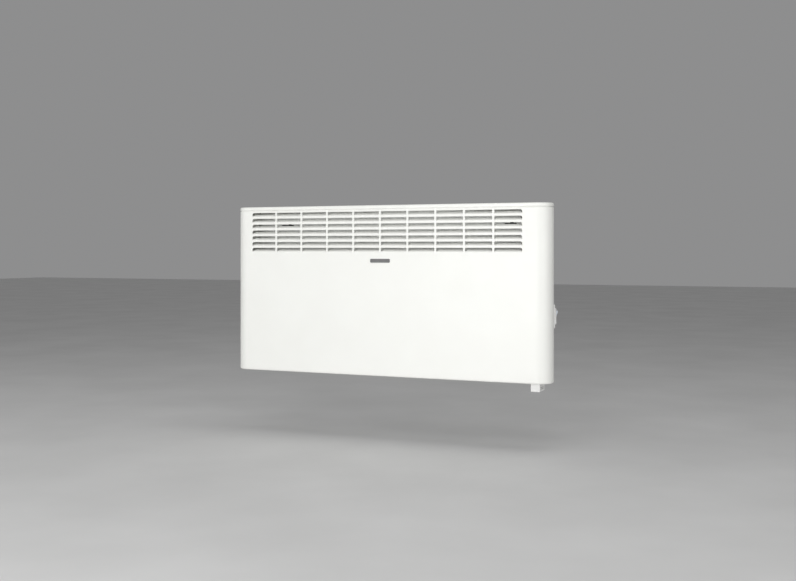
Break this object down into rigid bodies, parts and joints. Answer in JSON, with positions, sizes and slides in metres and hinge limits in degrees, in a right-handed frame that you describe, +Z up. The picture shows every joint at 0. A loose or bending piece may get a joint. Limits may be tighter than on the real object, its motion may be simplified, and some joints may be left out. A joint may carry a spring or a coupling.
{
  "type": "wall-hung fan convector heater",
  "caption": "Wall-hung electric convector: louvred sheet casing on a hook rail, with finned element, tangential fan, side rocker switch and recessed thermostat dial.",
  "frame": {"origin": "centre of the wall rail's back face, on the wall plane", "axes": "+X to the right seen from the room, +Y into the wall, +Z up"},
  "size_m": [0.9042, 0.1246, 0.475],
  "materials": {
    "casing_white": "warm white powder coat",
    "panel_white": "white powder coat, thinner",
    "rail_dark": "dark grey painted steel",
    "badge_grey": "grey moulded plastic",
    "switch_plastic": "light grey-white moulded plastic",
    "rocker_plastic": "smooth light grey moulded plastic",
    "dial_plastic": "light grey moulded plastic",
    "dark_plastic": "black moulded plastic",
    "rubber": "matt rubber",
    "steel_zinc": "zinc plated steel",
    "steel_tube": "heat tinted stainless steel",
    "aluminium": "bare sheet aluminium",
    "ceramic": "unglazed ceramic",
    "brass": "bare brass",
    "copper": "bare copper",
    "laminations": "stacked electrical steel",
    "winding": "taped coil",
    "wheel_grey": "dark grey moulded plastic",
    "lead_brown": "brown silicone insulation",
    "lead_blue": "blue silicone insulation",
    "lead_earth": "green and yellow insulation"
  },
  "bodies": {
    "wall_bracket": {"wall_rail": "rail_dark"},
    "heater": {"front_casing": "casing_white", "casing_base": "casing_white", "casing_end_left": "casing_white", "casing_end_right": "casing_white", "top_cap": "casing_white", "rear_panel": "panel_white", "base_grille": "panel_white", "wall_spacers": "rubber", "rear_screws": "steel_zinc", "cap_screws": "steel_zinc", "badge": "badge_grey", "switch_bezel": "switch_plastic", "switch_body": "switch_plastic", "switch_tabs": "brass", "sensor_housing": "switch_plastic", "sensor_clip": "dark_plastic", "sensor_bulb": "copper", "capillary": "copper", "thermostat_body": "dark_plastic", "element_tube": "steel_tube", "element_fins": "aluminium", "element_bracket_left": "steel_zinc", "element_bracket_right": "steel_zinc", "element_bushes": "ceramic", "element_pins": "steel_zinc", "heat_shield": "aluminium", "shield_spacers": "ceramic", "thermal_cutout": "dark_plastic", "fan_scroll": "steel_zinc", "fan_tongue": "steel_zinc", "fan_end_plate_left": "steel_zinc", "fan_end_plate_right": "steel_zinc", "fan_bearing": "rubber", "motor_stator": "laminations", "motor_coil": "winding", "motor_bridge_inner": "steel_zinc", "motor_bridge_outer": "steel_zinc", "motor_screws": "steel_zinc", "motor_spacers": "rubber", "terminal_block": "ceramic", "terminal_screws": "brass", "earth_stud": "brass", "cable_gland": "dark_plastic", "lead_supply": "lead_brown", "lead_switched": "lead_brown", "lead_element": "lead_brown", "lead_neutral": "lead_blue", "lead_motor": "lead_blue", "lead_earth": "lead_earth"},
    "rocker": {"rocker": "rocker_plastic"},
    "dial": {"thermostat_dial": "dial_plastic", "thermostat_spindle": "steel_zinc"},
    "fan_wheel": {"impeller": "wheel_grey", "motor_shaft": "steel_zinc", "motor_rotor": "laminations"}
  },
  "joints": [
    {"name": "lift_off", "type": "slide", "parent": "wall_bracket", "child": "heater", "axis": [0, 0, 1], "range_m": [0, 0.012]},
    {"name": "rocker_tilt", "type": "hinge", "parent": "heater", "child": "rocker", "pos_m": [0.44399, -0.05247, -0.2288], "axis": [0.2672, -0.9636, 0], "range_deg": [0, 18]},
    {"name": "dial_turn", "type": "hinge", "parent": "heater", "child": "dial", "pos_m": [0.382, -0.07, 0.041], "axis": [0, 0, -1], "range_deg": [0, 270]},
    {"name": "fan_spin", "type": "hinge", "parent": "heater", "child": "fan_wheel", "pos_m": [0, -0.08, -0.336], "axis": [1, 0, 0], "continuous": true}
  ]
}
